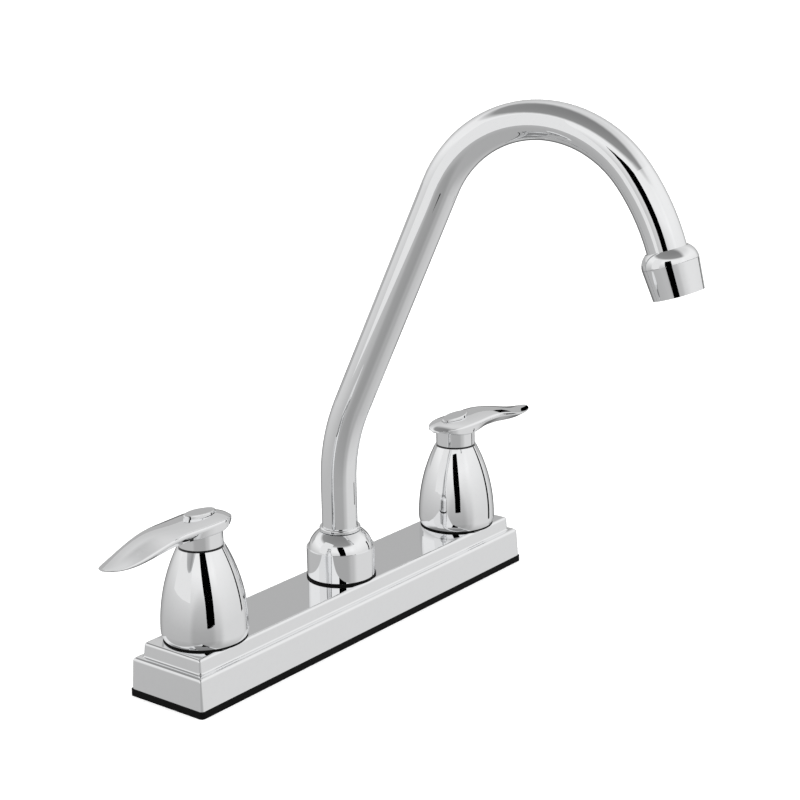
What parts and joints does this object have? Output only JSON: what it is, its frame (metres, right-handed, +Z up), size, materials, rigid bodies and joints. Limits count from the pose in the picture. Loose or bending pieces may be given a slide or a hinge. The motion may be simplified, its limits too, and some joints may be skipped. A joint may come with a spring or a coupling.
{
  "type": "two handle kitchen faucet",
  "caption": "Deck mounted kitchen faucet with a stepped base, bell skirts under leaf levers and a high swivelling gooseneck spout.",
  "frame": {"origin": "centre of the gasket's underside, on the plane of the sink deck", "axes": "+X along the base to the cold side, +Y to the wall behind the sink, +Z up; the spout reaches forward along -Y"},
  "size_m": [0.3332, 0.2176, 0.322],
  "materials": {
    "chrome": "mirror polished chrome plate",
    "rubber": "matt black rubber",
    "black_plastic": "smooth black acetal",
    "white_plastic": "moulded white plastic",
    "brass": "turned brass",
    "steel": "zinc plated steel",
    "ceramic": "lapped alumina ceramic"
  },
  "bodies": {
    "faucet_body": {"base_gasket": "rubber", "base_cover": "chrome", "spout_post": "brass", "spout_nut": "chrome", "hot_valve_body": "brass", "hot_cross_tube": "brass", "hot_deck_washer": "steel", "hot_lock_nut": "brass", "hot_seat_seal": "rubber", "hot_fixed_disc": "ceramic", "hot_cartridge_housing": "brass", "hot_bell": "chrome", "hot_glide_ring": "black_plastic", "cold_valve_body": "brass", "cold_cross_tube": "brass", "cold_deck_washer": "steel", "cold_lock_nut": "brass", "cold_seat_seal": "rubber", "cold_fixed_disc": "ceramic", "cold_cartridge_housing": "brass", "cold_bell": "chrome", "cold_glide_ring": "black_plastic"},
    "hot_handle": {"hot_stem": "brass", "hot_moving_disc": "ceramic", "hot_stem_oring": "rubber", "hot_stem_clip": "steel", "hot_lever": "chrome", "hot_lever_screw": "steel", "hot_lever_cap": "chrome"},
    "cold_handle": {"cold_stem": "brass", "cold_moving_disc": "ceramic", "cold_stem_oring": "rubber", "cold_stem_clip": "steel", "cold_lever": "chrome", "cold_lever_screw": "steel", "cold_lever_cap": "chrome"},
    "spout": {"spout_tube": "chrome", "spout_ferrule": "brass", "spout_orings": "rubber", "spout_trim_ring": "chrome", "spout_tip_fitting": "chrome", "aerator_housing": "chrome", "aerator_washer": "rubber", "aerator_insert": "white_plastic"}
  },
  "joints": [
    {"name": "hot_turn", "type": "hinge", "parent": "faucet_body", "child": "hot_handle", "pos_m": [-0.1016, 0, 0.074], "axis": [0, 0, 1], "range_deg": [0, 90]},
    {"name": "cold_turn", "type": "hinge", "parent": "faucet_body", "child": "cold_handle", "pos_m": [0.1016, 0, 0.074], "axis": [0, 0, -1], "range_deg": [0, 90]},
    {"name": "spout_swivel", "type": "hinge", "parent": "faucet_body", "child": "spout", "pos_m": [0, 0, 0.0406], "axis": [0, 0, 1], "continuous": true}
  ]
}
